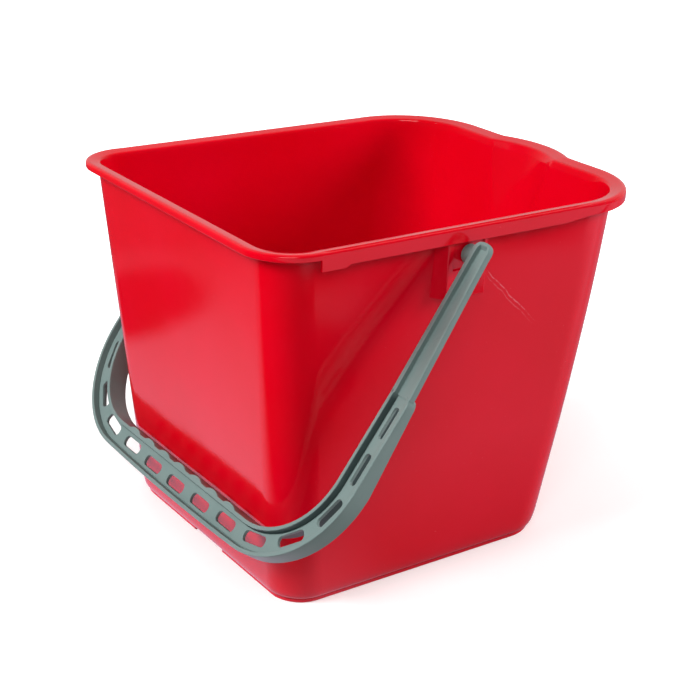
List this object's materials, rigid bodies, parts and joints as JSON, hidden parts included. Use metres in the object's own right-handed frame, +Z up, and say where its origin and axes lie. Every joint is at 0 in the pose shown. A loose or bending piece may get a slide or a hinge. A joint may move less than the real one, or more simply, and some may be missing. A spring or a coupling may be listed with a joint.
{
  "type": "wash bucket",
  "caption": "Rectangular wash bucket with a pouring lip, a skirted rim and a slotted bail handle that swings over the opening.",
  "frame": {"origin": "on the floor, in the middle of the foot ring", "axes": "+X towards the pouring lip, +Y across the bucket along the bail's pivots, +Z up"},
  "size_m": [0.3412, 0.34, 0.266],
  "materials": {
    "body": "glossy red polypropylene",
    "bail": "satin grey-green polypropylene"
  },
  "bodies": {
    "bucket": {"bucket_body": "body"},
    "bail": {"bail_handle": "bail"}
  },
  "joints": [
    {"name": "bail_swing", "type": "hinge", "parent": "bucket", "child": "bail", "pos_m": [0.0005, 0, 0.2475], "axis": [0, 1, 0], "range_deg": [0, 286]}
  ]
}
